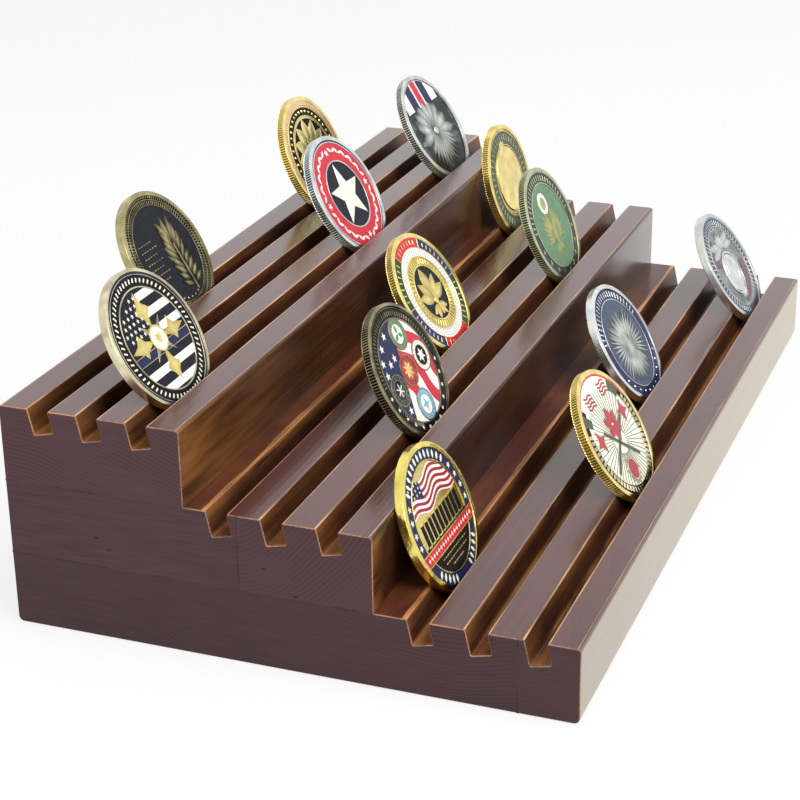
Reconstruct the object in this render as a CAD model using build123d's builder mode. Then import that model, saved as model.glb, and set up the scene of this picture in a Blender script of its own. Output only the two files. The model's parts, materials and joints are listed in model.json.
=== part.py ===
from build123d import *
from math import cos, radians, sin
import os

os.makedirs("parts", exist_ok=True)

# The rack is a stepped block of solid wood, glued up from boards, with three slanted grooves in
# the top of each step. Coins stand in the grooves and lean back. Millimetres and degrees.
# The length runs along X, the low front step faces -Y, and the underside lies on Z = 0.

# Overall sizes of the rack
rack_length = 310.0
low_step_depth = 60.0
middle_step_depth = 57.5
high_step_depth = 57.5
low_board_thickness = 23.4
middle_board_thickness = 23.6
high_board_thickness = 23.6

# Grooves: width square to the walls, depth down the rear wall, slant back from upright
groove_width = 6.2
groove_depth = 8.1
groove_slant = 12.5
grooves_per_step = 3
high_first_groove = 9.4
high_groove_pitch = 15.7
middle_first_groove = 7.0
middle_groove_pitch = 16.9
low_first_groove = 9.8
low_groove_pitch = 17.05

# Upright glue lines in the two lower layers, measured from the rear lip of the groove beside them
middle_seam_past_groove = 9.5
low_seam_before_groove = 1.7

# Eased edges, sanded before the lacquer
step_edge_radius = 1.0
groove_lip_radius = 0.5
groove_floor_radius = 0.4
underside_radius = 1.8

# Coins: struck discs, each with a raised rim round a sunk field on its front face
coin_diameter = 44.45
coin_thickness = 2.9
coin_rim_width = 1.65
coin_rim_height = 0.4
coin_clearance = 0.25

rack_depth = low_step_depth + middle_step_depth + high_step_depth
rear_face = rack_depth / 2
high_riser = rear_face - high_step_depth
middle_riser = high_riser - middle_step_depth
front_face = middle_riser - low_step_depth
low_top = low_board_thickness
middle_top = low_top + middle_board_thickness
high_top = middle_top + high_board_thickness
end_plane = Plane.YZ.offset(-rack_length / 2)

# Unit directions of a groove in the YZ plane: up along its walls, and across to the front
slant = radians(groove_slant)
groove_up = Vector(0, sin(slant), cos(slant))
groove_across = Vector(0, -cos(slant), sin(slant))


def near(value, target):
    return abs(value - target) < 0.01


def groove_lips(first_lip, pitch, top):
    """The rear lips of one step's grooves, from the rear forwards."""
    return [Vector(0, first_lip - pitch * count, top) for count in range(grooves_per_step)]


high_lips = groove_lips(rear_face - high_first_groove, high_groove_pitch, high_top)
middle_lips = groove_lips(high_riser - middle_first_groove, middle_groove_pitch, middle_top)
low_lips = groove_lips(middle_riser - low_first_groove, low_groove_pitch, low_top)
groove_rear_lips = high_lips + middle_lips + low_lips
middle_seam = middle_lips[0].Y - middle_seam_past_groove
low_seam = low_lips[-1].Y + low_seam_before_groove


def groove_corners(lip):
    """One groove's section: rear floor, front floor, then both walls run on above the top."""
    overshoot = groove_depth + groove_width
    rear_floor = lip - groove_up * groove_depth
    front_floor = rear_floor + groove_across * groove_width
    return rear_floor, front_floor, front_floor + groove_up * overshoot, rear_floor + groove_up * overshoot


def draw_board(rear, front, bottom, top, lips):
    """The section of one board, a rectangle with its grooves cut, drawn in the open sketch."""
    Polygon((rear, bottom), (rear, top), (front, top), (front, bottom), align=None)
    for lip in lips:
        corners = [(corner.Y, corner.Z) for corner in groove_corners(lip)]
        Polygon(*corners, align=None, mode=Mode.SUBTRACT)


def corners_at(section, *places):
    """The corners of a section that lie at the given (y, z) places."""
    return [v for v in section.vertices() if any(near(v.X, y) and near(v.Y, z) for y, z in places)]


def round_grooves(section, lips):
    """Soften the lips and the floor corners of every groove in a section."""
    for lip in lips:
        rear_floor, front_floor, *walls = groove_corners(lip)
        front_lip = (lip.Y - groove_width / cos(slant), lip.Z)
        fillet(corners_at(section, (lip.Y, lip.Z), front_lip), groove_lip_radius)
        floor_places = [(corner.Y, corner.Z) for corner in (rear_floor, front_floor)]
        fillet(corners_at(section, *floor_places), groove_floor_radius)


def save(piece, name):
    piece.part.label = name
    export_step(piece.part, f"parts/{name}.step")


# High board: the whole top layer, with three grooves
with BuildPart() as high_board:
    with BuildSketch(end_plane) as high_section:
        draw_board(rear_face, high_riser, middle_top, high_top, high_lips)
        round_grooves(high_section, high_lips)
        fillet(corners_at(high_section, (rear_face, high_top), (high_riser, high_top)), step_edge_radius)
    extrude(amount=rack_length)
save(high_board, "high_board")

# Middle rear stave: carries the high board, with one groove in front of it
with BuildPart() as middle_rear_stave:
    with BuildSketch(end_plane) as middle_rear_section:
        draw_board(rear_face, middle_seam, low_top, middle_top, middle_lips[:1])
        round_grooves(middle_rear_section, middle_lips[:1])
    extrude(amount=rack_length)
save(middle_rear_stave, "middle_rear_stave")

# Middle front stave: edge glued to it, with the other two grooves of the middle step
with BuildPart() as middle_front_stave:
    with BuildSketch(end_plane) as middle_front_section:
        draw_board(middle_seam, middle_riser, low_top, middle_top, middle_lips[1:])
        round_grooves(middle_front_section, middle_lips[1:])
        fillet(corners_at(middle_front_section, (middle_riser, middle_top)), step_edge_radius)
    extrude(amount=rack_length)
save(middle_front_stave, "middle_front_stave")

# Low rear stave: the wide plank under everything, with two grooves
with BuildPart() as low_rear_stave:
    with BuildSketch(end_plane) as low_rear_section:
        draw_board(rear_face, low_seam, 0, low_top, low_lips[:-1])
        round_grooves(low_rear_section, low_lips[:-1])
        fillet(corners_at(low_rear_section, (rear_face, 0)), underside_radius)
    extrude(amount=rack_length)
save(low_rear_stave, "low_rear_stave")

# Low front stave: the narrow strip along the front, with the lowest groove
with BuildPart() as low_front_stave:
    with BuildSketch(end_plane) as low_front_section:
        draw_board(low_seam, front_face, 0, low_top, low_lips[-1:])
        round_grooves(low_front_section, low_lips[-1:])
        fillet(corners_at(low_front_section, (front_face, low_top)), step_edge_radius)
        fillet(corners_at(low_front_section, (front_face, 0)), underside_radius)
    extrude(amount=rack_length)
save(low_front_stave, "low_front_stave")


def back_corner(lip, lean):
    """Where a coin's lower back edge stands when its back rests on the groove's rear lip."""
    tilt = radians(max(lean - groove_slant, 0))
    from_wall = (coin_clearance + (groove_depth - coin_clearance) * sin(tilt)) / cos(tilt)
    rear_floor = lip - groove_up * groove_depth
    return rear_floor + groove_across * from_wall + groove_up * coin_clearance


def coin_directions(lean):
    """Unit directions of a leaning coin: up its face, and out of its front face."""
    angle = radians(lean)
    return Vector(0, sin(angle), cos(angle)), Vector(0, -cos(angle), sin(angle))


def leans_freely(lip, riser_edge, lean):
    """Whether a coin at this lean clears the groove's front wall and the rounded step behind it."""
    face_up, face_out = coin_directions(lean)
    corner = back_corner(lip, lean)
    rear_floor = lip - groove_up * groove_depth
    front_reach = (corner + face_out * coin_thickness - rear_floor).dot(groove_across)
    if front_reach > groove_width - coin_clearance:
        return False
    if riser_edge is None:
        return True
    edge_centre = riser_edge + Vector(0, step_edge_radius, -step_edge_radius)
    return (corner - edge_centre).dot(face_out) >= step_edge_radius + coin_clearance


def settled_lean(lip, riser_edge, wanted):
    """The wanted lean, or the steepest one below it that the groove and the step allow."""
    lean = wanted
    while lean > groove_slant and not leans_freely(lip, riser_edge, lean):
        lean -= 0.05
    return lean


# Each coin: its groove counted from the rear, its place as a share of the rack's length, and its lean
coins = {
    "coin_01": (1, 0.326, 31.0),
    "coin_02": (1, 0.710, 23.0),
    "coin_03": (3, 0.104, 31.5),
    "coin_04": (3, 0.578, 30.0),
    "coin_05": (3, 0.875, 31.5),
    "coin_06": (4, 0.912, 16.0),
    "coin_07": (5, 0.500, 32.5),
    "coin_08": (6, 0.276, 28.0),
    "coin_09": (6, 0.759, 24.0),
    "coin_10": (7, 0.120, 24.5),
    "coin_11": (8, 0.611, 32.5),
    "coin_12": (9, 0.361, 32.5),
    "coin_13": (9, 0.903, 32.5),
}


def riser_edge_behind(groove):
    """The top edge of the step behind a groove, or None on the high step."""
    step = (groove - 1) // grooves_per_step
    return [None, Vector(0, high_riser, high_top), Vector(0, middle_riser, middle_top)][step]


def coin_face_plane(groove, share, wanted_lean):
    """The plane of a coin's front face, its X along the rack and its Y up the face."""
    lip = groove_rear_lips[groove - 1]
    lean = settled_lean(lip, riser_edge_behind(groove), wanted_lean)
    face_up, face_out = coin_directions(lean)
    centre = back_corner(lip, lean) + face_up * (coin_diameter / 2) + face_out * coin_thickness
    along = Vector(rack_length * (share - 0.5), 0, 0)
    print(f"groove {groove}: coin leans {lean:.2f} degrees and lifts along {face_up}")
    return Plane(origin=centre + along, x_dir=(1, 0, 0), z_dir=face_out)


# Coins, each on the plane of its own leaning face
for coin_name, (groove, share, wanted_lean) in coins.items():
    face = coin_face_plane(groove, share, wanted_lean)
    with BuildPart() as coin:
        with BuildSketch(face):
            Circle(coin_diameter / 2)
        extrude(amount=-coin_thickness)
        with BuildSketch(face):
            Circle(coin_diameter / 2 - coin_rim_width)
        extrude(amount=-coin_rim_height, mode=Mode.SUBTRACT)
    save(coin, coin_name)
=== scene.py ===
# %% [markdown]
# # A stepped coin rack in lacquered wood, and the thirteen coins that lean in it
#
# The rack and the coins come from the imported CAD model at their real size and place. This lesson gives
# them their looks. The boards get sanded edges, end grain and rubbed lacquer. Each coin gets a struck
# edge, enamel and relief of plain, traditional motifs such as stars, rays, leaves and stripes.

# %% Load the frame
import bpy
import json
import math
from mathutils import Matrix, Vector


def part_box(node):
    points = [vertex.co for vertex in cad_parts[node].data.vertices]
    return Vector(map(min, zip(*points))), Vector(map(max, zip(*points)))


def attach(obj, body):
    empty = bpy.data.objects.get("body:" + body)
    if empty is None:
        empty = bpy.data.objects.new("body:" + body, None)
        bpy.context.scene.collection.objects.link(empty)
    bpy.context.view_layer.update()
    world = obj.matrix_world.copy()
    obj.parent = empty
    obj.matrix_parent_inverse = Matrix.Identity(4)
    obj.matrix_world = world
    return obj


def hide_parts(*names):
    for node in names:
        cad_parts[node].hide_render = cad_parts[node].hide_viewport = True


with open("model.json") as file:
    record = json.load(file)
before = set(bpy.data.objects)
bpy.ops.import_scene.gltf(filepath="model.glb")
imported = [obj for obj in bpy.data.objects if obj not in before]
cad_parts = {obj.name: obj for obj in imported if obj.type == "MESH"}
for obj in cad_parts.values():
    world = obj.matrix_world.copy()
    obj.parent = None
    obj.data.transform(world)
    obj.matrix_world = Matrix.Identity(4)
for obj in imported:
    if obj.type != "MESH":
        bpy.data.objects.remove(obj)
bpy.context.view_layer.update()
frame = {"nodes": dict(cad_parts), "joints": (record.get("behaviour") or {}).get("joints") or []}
mm = 0.001
board_names = ["high_board", "middle_rear_stave", "middle_front_stave", "low_rear_stave", "low_front_stave"]
board_boxes = {name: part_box(name) for name in board_names}
half_length = board_boxes["high_board"][1].x

# %% [markdown]
# ## The camera
#
# A camera is easiest to match as a person would set it: how high it stands, which way it points, how far
# it tips down, and how far it rolls. The lens is long, so the rack's edges stay close to parallel.

# %% The camera
camera_place = Vector((-619.4, -215.3, 302.4)) * mm
camera_bearing = math.radians(21.07)
camera_tip = math.radians(-23.17)
camera_roll = math.radians(-0.83)
picture_pixels = 800
focal_pixels = 2051.2
sensor_width = 36.0
nearest_seen = 10 * mm


def camera_axes(bearing, tip, roll):
    """The right, up and forward directions of a camera with this bearing, tip and roll."""
    forward = Vector((math.cos(tip) * math.cos(bearing), math.cos(tip) * math.sin(bearing), math.sin(tip)))
    level_right = Vector((math.sin(bearing), -math.cos(bearing), 0))
    level_up = level_right.cross(forward)
    right = level_right * math.cos(roll) + level_up * math.sin(roll)
    return right, right.cross(forward), forward


right, up, forward = camera_axes(camera_bearing, camera_tip, camera_roll)
camera_turn = Matrix((right, up, -forward)).transposed().to_4x4()
bpy.ops.object.select_all(action="DESELECT")
bpy.ops.object.camera_add()
camera = bpy.context.object
camera.name = "camera"
camera.matrix_world = Matrix.Translation(camera_place) @ camera_turn
camera.data.sensor_width = sensor_width
camera.data.lens = focal_pixels * sensor_width / picture_pixels
camera.data.clip_start = nearest_seen
bpy.context.scene.camera = camera
print("lens", round(camera.data.lens, 1), "mm")

# %% [markdown]
# ## A plain white studio
#
# The floor is a wide sheet of pale card. It stays a little darker where the rack shades it, and it is
# shown brighter to the camera, so that it runs into the white background. One large soft lamp hangs
# above and in front, a weaker one fills from the end, and the world is an even pale grey. The floor and
# the world are small trees of nodes, and the helpers that write these trees serve every later finish.

# %% Helpers that write nodes


def new_material(name):
    """An empty node material, its tree and its output node."""
    material = bpy.data.materials.new(name)
    material.use_nodes = True
    tree = material.node_tree
    tree.nodes.clear()
    return material, tree, tree.nodes.new("ShaderNodeOutputMaterial")


def add_node(tree, kind, values=None, **settings):
    """A shader node, with its settings made and its inputs set or linked by name or number."""
    node = tree.nodes.new("ShaderNode" + kind)
    for name, value in settings.items():
        setattr(node, name, value)
    for key, value in (values or {}).items():
        socket = node.inputs[key]
        if isinstance(value, bpy.types.NodeSocket):
            tree.links.new(value, socket)
        else:
            socket.default_value = value
    return node


def calculate(tree, operation, *values, clamp=False):
    """A maths node's result."""
    node = add_node(tree, "Math", dict(enumerate(values)), operation=operation, use_clamp=clamp)
    return node.outputs[0]


def multiply(tree, first, second):
    """The product of two values."""
    return calculate(tree, "MULTIPLY", first, second)


# %% The floor and the backdrop
floor_half = 6.0
floor_drop = 0.2 * mm
card_colour = (0.86, 0.86, 0.86, 1)
pure_white = (1, 1, 1, 1)
shown_to_camera = 0.78
shown_to_mirrors = 0.8
room_strength = 0.55


def white_card():
    """Pale card that the camera and the glossy surfaces see as nearly white."""
    material, tree, output = new_material("white_card")
    card = add_node(tree, "BsdfDiffuse", {"Color": card_colour})
    glow = add_node(tree, "Emission", {"Color": pure_white, "Strength": 1.0})
    ray = add_node(tree, "LightPath")
    direct = multiply(tree, ray.outputs["Is Camera Ray"], shown_to_camera)
    mirrored = multiply(tree, ray.outputs["Is Glossy Ray"], shown_to_mirrors)
    share = calculate(tree, "ADD", direct, mirrored)
    mixed = add_node(tree, "MixShader", {0: share, 1: card.outputs[0], 2: glow.outputs[0]})
    tree.links.new(mixed.outputs[0], output.inputs["Surface"])
    return material


def pale_room():
    """An even grey world that the camera and the glossy surfaces see as white."""
    world = bpy.data.worlds.new("pale_room")
    world.use_nodes = True
    tree = world.node_tree
    tree.nodes.clear()
    output = tree.nodes.new("ShaderNodeOutputWorld")
    light = add_node(tree, "Background", {"Color": pure_white, "Strength": room_strength})
    shown = add_node(tree, "Background", {"Color": pure_white, "Strength": 1.0})
    ray = add_node(tree, "LightPath")
    share = calculate(tree, "MAXIMUM", ray.outputs["Is Camera Ray"], ray.outputs["Is Glossy Ray"])
    mixed = add_node(tree, "MixShader", {0: share, 1: light.outputs[0], 2: shown.outputs[0]})
    tree.links.new(mixed.outputs[0], output.inputs["Surface"])
    return world


bpy.ops.object.select_all(action="DESELECT")
bpy.ops.mesh.primitive_plane_add(size=2 * floor_half, location=(0, 0, -floor_drop))
floor = bpy.context.object
floor.name = "floor"
floor.data.materials.append(white_card())
bpy.context.scene.world = pale_room()
print("floor", 2 * floor_half, "m wide")

# %% The lamps
lamp_aim = Vector((0, 0, 0.03))


def soft_lamp(name, place, size, power):
    """A square area lamp that faces the middle of the rack."""
    bpy.ops.object.select_all(action="DESELECT")
    bpy.ops.object.light_add(type="AREA", location=place)
    lamp = bpy.context.object
    lamp.name = name
    lamp.data.size = size
    lamp.data.energy = power
    lamp.rotation_euler = (lamp_aim - Vector(place)).to_track_quat("-Z", "Y").to_euler()
    print(name, size, "m wide,", power, "W")


soft_lamp("lamp_above", place=(-0.25, -0.65, 1.15), size=0.9, power=15.0)
soft_lamp("lamp_end", place=(-1.3, 0.35, 0.75), size=0.7, power=4.0)
bpy.context.scene.view_settings.view_transform = "Standard"

# %% [markdown]
# ## The finish of the wood
#
# The wood is one solid pattern: growth rings round a pith that lies off to one side of each board, with
# a slow wander along the length. Read on an end it gives arcs, and read on a top it gives long streaks.
# What changes from face to face is how much stain and lacquer the wood took, and how far the sanded
# edges were rubbed back to bare wood; the pale line on those edges is partly that wear and partly a
# painted highlight. Some colour is painted light and shade: the dark grooves are partly painted shade,
# the pale streaks at the ends are partly painted light, and those below the groove lips and along the
# groove floors are painted light. The rub reads an attribute: each vertex's distance from an edge.

# %% Noise, ramps and mixed colours


def stretched_noise(tree, place, lengths, detail=2.0, seed=0.0):
    """Noise with features of these lengths along X, Y and Z, in millimetres."""
    scale = [1 / (length * mm) for length in lengths]
    shifted = add_node(tree, "Mapping", {"Vector": place, "Scale": scale, "Location": (seed, seed, seed)})
    noise = add_node(tree, "TexNoise", {"Vector": shifted.outputs[0], "Scale": 1.0, "Detail": detail})
    return noise.outputs["Fac"]


def grey_ramp(tree, value, low, high):
    """0 at the low value, 1 at the high one, straight between and flat beyond."""
    node = add_node(tree, "MapRange", {"Value": value, "From Min": low, "From Max": high})
    return node.outputs["Result"]


def patches(tree, place, lengths, low, high, detail=3.0, seed=0.0):
    """Stretched noise that is spread to run from 0 at one of its values to 1 at another."""
    return grey_ramp(tree, stretched_noise(tree, place, lengths, detail, seed), low, high)


def stored(tree, attribute):
    """A number that the mesh carries at each of its vertices."""
    return add_node(tree, "Attribute", attribute_name=attribute).outputs["Fac"]


def mix_colours(tree, share, first, second):
    """The second colour laid over the first by a share."""
    node = add_node(tree, "Mix", data_type="RGBA", blend_type="MIX")
    sockets = {socket.identifier: socket for socket in node.inputs}
    for name, value in (("Factor_Float", share), ("A_Color", first), ("B_Color", second)):
        if isinstance(value, bpy.types.NodeSocket):
            tree.links.new(value, sockets[name])
        else:
            sockets[name].default_value = value if name == "Factor_Float" else (*value, 1)
    return next(socket for socket in node.outputs if socket.identifier == "Result_Color")


# %% Rings and fibres
ring_spacing = 1.3
ring_wander = 9.0
wander_lengths = (160, 45, 45)
fibre_lengths = (60.0, 1.1, 1.1)
end_fibre_lengths = (60.0, 11.0, 0.9)


def growth_rings(tree, place, pith):
    """Where each point lies between one growth ring and the next, from 0 to 1."""
    split = add_node(tree, "SeparateXYZ", {"Vector": place})
    across = calculate(tree, "SUBTRACT", split.outputs["Y"], pith[0] * mm)
    height = calculate(tree, "SUBTRACT", split.outputs["Z"], pith[1] * mm)
    squares = [multiply(tree, side, side) for side in (across, height)]
    radius = calculate(tree, "SQRT", calculate(tree, "ADD", *squares))
    wander = multiply(tree, stretched_noise(tree, place, wander_lengths, detail=1.0), ring_wander * mm)
    turns = calculate(tree, "DIVIDE", calculate(tree, "ADD", radius, wander), ring_spacing * mm)
    return calculate(tree, "FRACT", turns)


def wood_grain(tree, place, pith, ring_share, ring_fade, on_end):
    """The dark part of the rings, the fibres, and the share of stain that both take together."""
    late = grey_ramp(tree, growth_rings(tree, place, pith), 0.35, 0.95)
    if ring_fade:
        faint = patches(tree, place, (60, 24, 16), 0.35, 0.62, detail=1.0, seed=9.0)
        late = multiply(tree, late, calculate(tree, "MULTIPLY_ADD", faint, ring_fade, 1 - ring_fade))
    fibres = stretched_noise(tree, place, end_fibre_lengths if on_end else fibre_lengths, detail=3.0)
    fibre_share = grey_ramp(tree, fibres, 0.1, 1.0) if on_end else grey_ramp(tree, fibres, 0.3, 0.75)
    grain = calculate(tree, "ADD", multiply(tree, late, ring_share), fibre_share)
    return late, fibres, calculate(tree, "MULTIPLY", grain, 1 / (1 + ring_share), clamp=True)


# %% Where the stain is thin or rubbed through, and where light and highlights are painted on
rub_and_highlight_softness = 0.25
end_rub_and_highlight_reach = 16.0


def near_ends(tree, place, reach):
    """0 at this many millimetres from the ends of the rack, rising to 1 at the ends."""
    along = calculate(tree, "ABSOLUTE", add_node(tree, "SeparateXYZ", {"Vector": place}).outputs["X"])
    return grey_ramp(tree, along, half_length - reach * mm, half_length)


def rubbed_and_highlit_edges(tree, place, rub_and_highlight_width):
    """Rubbed-through stain and a painted highlight: a thin line on the rounded edges that swells and fades.
    """
    swelling = patches(tree, place, (26, 3, 3), 0.35, 0.7, seed=5.0)
    reach = calculate(tree, "MULTIPLY_ADD", swelling, 0.5 * rub_and_highlight_width, 0.5 * rub_and_highlight_width)
    left = calculate(tree, "SUBTRACT", reach, stored(tree, "edge_gap"))
    edge_line = calculate(tree, "DIVIDE", left, rub_and_highlight_softness, clamp=True)
    mottled = patches(tree, place, (42, 6, 6), 0.38, 0.64, seed=11.0)
    mottled = calculate(tree, "MAXIMUM", mottled, near_ends(tree, place, end_rub_and_highlight_reach))
    return multiply(tree, edge_line, calculate(tree, "MULTIPLY_ADD", mottled, 0.8, 0.15))


def blotches(tree, place):
    """Broad patches that took little stain."""
    return patches(tree, place, (38, 16, 16), 0.42, 0.66, detail=2.0, seed=3.0)


def end_streaks_and_light(tree, place, reach):
    """Paler streaks that run in from the ends: partly thin stain, partly painted light reaching in at the
    ends.
    """
    streaks = patches(tree, place, (45, 5, 5), 0.35, 0.65, seed=8.0)
    return multiply(tree, near_ends(tree, place, reach), streaks)


def painted_lip_light(tree, place):
    """Painted light in streaks just below the lips of a groove, where light falls on the top of its wall."""
    streaks = patches(tree, place, (32, 3, 3), 0.35, 0.65, seed=13.0)
    return multiply(tree, grey_ramp(tree, stored(tree, "edge_gap"), 3.6, 0.6), streaks)


def painted_groove_floor_light(tree, place):
    """Painted light in stretches along the corners of a groove's floor, where light reaches in."""
    mottled = patches(tree, place, (26, 6, 6), 0.3, 0.6, seed=15.0)
    return multiply(tree, grey_ramp(tree, stored(tree, "floor_gap"), 1.3, 0.1), mottled)


# %% Small marks in the ends
pore_density = (60, 110, 230)
pit_depth = 0.35
pit_shade = 0.25
seam_width = 0.7
seam_strength = 0.6
seam_depth = 0.3
seam_shade = 0.3


def pits_and_nicks(tree, place):
    """Open pores in some places, and short scratches."""
    cells = add_node(tree, "Mapping", {"Vector": place, "Scale": pore_density})
    spots = add_node(tree, "TexVoronoi", {"Vector": cells.outputs[0], "Scale": 1.0}).outputs["Distance"]
    where = patches(tree, place, (40, 22, 12), 0.5, 0.6, detail=2.0, seed=2.0)
    pit = multiply(tree, grey_ramp(tree, spots, 0.1, 0.04), where)
    nick = multiply(tree, patches(tree, place, (4, 7, 0.45), 0.7, 0.8, detail=2.0, seed=19.0), 0.5)
    return calculate(tree, "MAXIMUM", pit, nick)


def glue_seam(tree, place, axis, line):
    """A thin, broken line where this axis passes a place in millimetres."""
    value = add_node(tree, "SeparateXYZ", {"Vector": place}).outputs[axis]
    gap = calculate(tree, "ABSOLUTE", calculate(tree, "SUBTRACT", value, line * mm))
    broken = patches(tree, place, (9, 9, 9), 0.42, 0.62, seed=21.0)
    return multiply(tree, grey_ramp(tree, gap, seam_width / 2 * mm, 0.0), broken)


def sink(tree, mark, strength, depth, colour, height, shade):
    """The colour and the height of the wood with a dark mark sunk in it."""
    darker = mix_colours(tree, multiply(tree, mark, strength), colour, shade)
    return darker, calculate(tree, "SUBTRACT", height, multiply(tree, mark, depth))


# %% One finish of the wood
bump_strength = 0.6
bump_reach = 0.4 * mm
far_gloss_start = 95.0
far_gloss_full = 15.0
haze_tint = (1, 0.91, 0.66, 1)


def wood(name, pith, stain, pale, thin_stain_and_light_colour, bare_edge_and_highlight=None, ring_share=0.5, rub_and_highlight_width=0.8, gloss=0.25,
         coat=1.0, coat_index=1.5, relief=0.05, pits=0.0, patchy=0.0, end_stain_and_light=0.0, end_stain_and_light_reach=90.0,
         haze=0.0, lip_light_share=0.0, groove_floor_light_share=0.0, far_gloss=0.0, seams=(), ring_fade=0.0, ripple=0.0,
         peel=0.0):
    """One board's wood under one of the rack's finishes."""
    material, tree, output = new_material(name)
    place = add_node(tree, "TexCoord").outputs["Object"]
    late, fibres, grain = wood_grain(tree, place, pith, ring_share, ring_fade, on_end=bool(pits))
    colour = mix_colours(tree, grain, pale, stain)
    # Paler patches: blotches of thin stain, end streaks that are partly thin stain and partly painted light,
    # and painted light below the groove lips and along the groove floors.
    pale_stain_and_light = []
    if patchy:
        pale_stain_and_light.append((blotches(tree, place), patchy))
    if end_stain_and_light:
        pale_stain_and_light.append((end_streaks_and_light(tree, place, end_stain_and_light_reach), end_stain_and_light))
    if lip_light_share:
        pale_stain_and_light.append((painted_lip_light(tree, place), lip_light_share))
    if groove_floor_light_share:
        pale_stain_and_light.append((painted_groove_floor_light(tree, place), groove_floor_light_share))
    for share, strength in pale_stain_and_light:
        colour = mix_colours(tree, multiply(tree, share, strength), colour, thin_stain_and_light_colour)
    # The pale line on the rounded edges: partly rubbed-through wood, partly a painted highlight.
    if rub_and_highlight_width:
        colour = mix_colours(tree, rubbed_and_highlit_edges(tree, place, rub_and_highlight_width), colour, bare_edge_and_highlight or thin_stain_and_light_colour)
    height = multiply(tree, calculate(tree, "ADD", late, fibres), relief)
    if ripple:
        swells = stretched_noise(tree, place, (34, 7, 7), detail=2.0, seed=17.0)
        height = calculate(tree, "MULTIPLY_ADD", swells, ripple, height)
    if peel:
        skin = stretched_noise(tree, place, (1.6, 0.8, 0.8), detail=1.0, seed=23.0)
        height = calculate(tree, "MULTIPLY_ADD", skin, peel, height)
    if pits:
        shade = [part * pit_shade for part in stain]
        colour, height = sink(tree, pits_and_nicks(tree, place), pits, pit_depth, colour, height, shade)
    for axis, line in seams:
        seam = glue_seam(tree, place, axis, line)
        shade = [part * seam_shade for part in stain]
        colour, height = sink(tree, seam, seam_strength, seam_depth, colour, height, shade)
    bump = add_node(tree, "Bump", {"Height": height, "Strength": bump_strength, "Distance": bump_reach})
    smear = multiply(tree, grey_ramp(tree, fibres, 0.3, 0.8), 0.08)
    shader = add_node(tree, "BsdfPrincipled", {
        "Base Color": colour, "Roughness": calculate(tree, "ADD", smear, gloss), "Normal": bump.outputs[0],
        "Specular IOR Level": 0.1, "Coat Weight": coat, "Coat Roughness": gloss, "Coat IOR": coat_index,
        "Coat Normal": bump.outputs[0]})
    if far_gloss:
        along = add_node(tree, "SeparateXYZ", {"Vector": place}).outputs["X"]
        far = grey_ramp(tree, along, half_length - far_gloss_start * mm, half_length - far_gloss_full * mm)
        tree.links.new(calculate(tree, "MULTIPLY_ADD", far, far_gloss, coat), shader.inputs["Coat Weight"])
    if haze:
        shader.inputs["Sheen Weight"].default_value = haze
        shader.inputs["Sheen Roughness"].default_value = 0.3
        shader.inputs["Sheen Tint"].default_value = haze_tint
    tree.links.new(shader.outputs[0], output.inputs["Surface"])
    return material


# %% [markdown]
# ## The boards
#
# Each board starts as a copy of the CAD board, because the slanted grooves and their eased lips must
# stay where they are. The copy's loose triangles are merged and dissolved into clean faces. Then its
# ends get the small rounding that sanding gives: both end faces are set back, and then drawn in and
# pushed out again in three steps, which follows any outline. Along a glue line the corners are put back,
# since there the real joint is sanded flush. A cut along the middle of each land gives the edge distance
# its peak. Every face then gets the finish of its place, and the rounded corners get a paler one, which is
# partly sanding wear and partly a painted highlight.

# %% Selecting and cutting
tiny = 0.01 * mm
merge_angle = math.radians(1)


def is_top(face):
    """Whether a face points up."""
    return face.normal.z > 0.9


def is_cap(face):
    """Whether a face points up or down."""
    return abs(face.normal.z) > 0.9


def is_any(item):
    """A test that every vertex and face passes."""
    return True


def only(piece):
    """Make this the one selected and active object."""
    bpy.ops.object.select_all(action="DESELECT")
    piece.hide_set(False)
    piece.select_set(True)
    bpy.context.view_layer.objects.active = piece


def choose(piece, kind, test):
    """Open a piece in edit mode with only the vertices or faces that pass a test selected."""
    only(piece)
    mesh = piece.data
    for group in (mesh.vertices, mesh.edges, mesh.polygons):
        group.foreach_set("select", [False] * len(group))
    bpy.context.tool_settings.mesh_select_mode = (kind == "VERT", False, kind == "FACE")
    for item in {"VERT": mesh.vertices, "FACE": mesh.polygons}[kind]:
        item.select = test(item)
    bpy.ops.object.mode_set(mode="EDIT")


def copy_node(node, name):
    """A free copy of a CAD node with its triangles merged into clean faces."""
    piece = bpy.data.objects.new(name, frame["nodes"][node].data.copy())
    bpy.context.scene.collection.objects.link(piece)
    piece.data.materials.clear()
    only(piece)
    bpy.ops.object.mode_set(mode="EDIT")
    bpy.ops.mesh.select_all(action="SELECT")
    bpy.ops.mesh.remove_doubles(threshold=tiny)
    bpy.ops.mesh.customdata_custom_splitnormals_clear()
    bpy.ops.mesh.dissolve_limited(angle_limit=merge_angle)
    bpy.ops.object.mode_set(mode="OBJECT")
    return piece


def cut_across(piece, place, normal):
    """Cut a piece's faces along a plane and keep both sides."""
    only(piece)
    bpy.ops.object.mode_set(mode="EDIT")
    bpy.ops.mesh.select_all(action="SELECT")
    bpy.ops.mesh.bisect(plane_co=place, plane_no=normal)
    bpy.ops.object.mode_set(mode="OBJECT")


# %% Finding glue, lands, edges and groove floors
underside_zone = 3 * mm
top_zone = 5 * mm


def corners(piece, part):
    """The places of the vertices of one edge or face."""
    return [piece.data.vertices[index].co for index in part.vertices]


def inside(box, point):
    """Whether a point lies in a box or on its faces."""
    return all(box[0][axis] - tiny <= point[axis] <= box[1][axis] + tiny for axis in range(3))


def is_glued(name, point):
    """Whether a point of one board's end touches another board."""
    return any(inside(box, point) for other, box in board_boxes.items() if other != name)


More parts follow.
